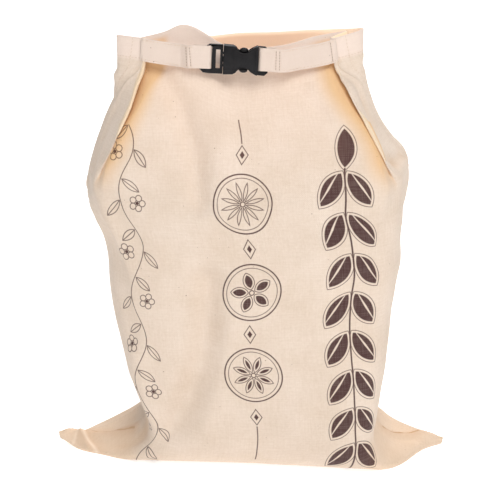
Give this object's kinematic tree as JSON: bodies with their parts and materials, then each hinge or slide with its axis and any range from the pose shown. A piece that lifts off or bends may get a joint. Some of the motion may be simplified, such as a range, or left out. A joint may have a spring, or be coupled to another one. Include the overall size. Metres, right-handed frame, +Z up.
{
  "type": "canvas bread bag with a strap and side release buckle",
  "caption": "Standing cotton canvas bread bag, folded bottom with splayed corner ears, pleated open mouth held round by a front strap with a black side release buckle.",
  "frame": {"origin": "middle of the flat base, on the surface that the bag stands on", "axes": "+Z up, the front of the bag with the strap faces -Y, +X to the right as seen from the front"},
  "size_m": [0.37, 0.1724, 0.4085],
  "materials": {
    "canvas": "unbleached plain weave cotton, dull, with dark seed flecks",
    "strap_canvas": "folded plain weave cotton strap, dull",
    "buckle_plastic": "moulded black plastic, satin"
  },
  "bodies": {
    "root": {"bag_body": "canvas", "strap_left": "strap_canvas", "strap_right": "strap_canvas", "buckle_plug": "buckle_plastic", "buckle_socket": "buckle_plastic"}
  },
  "joints": []
}
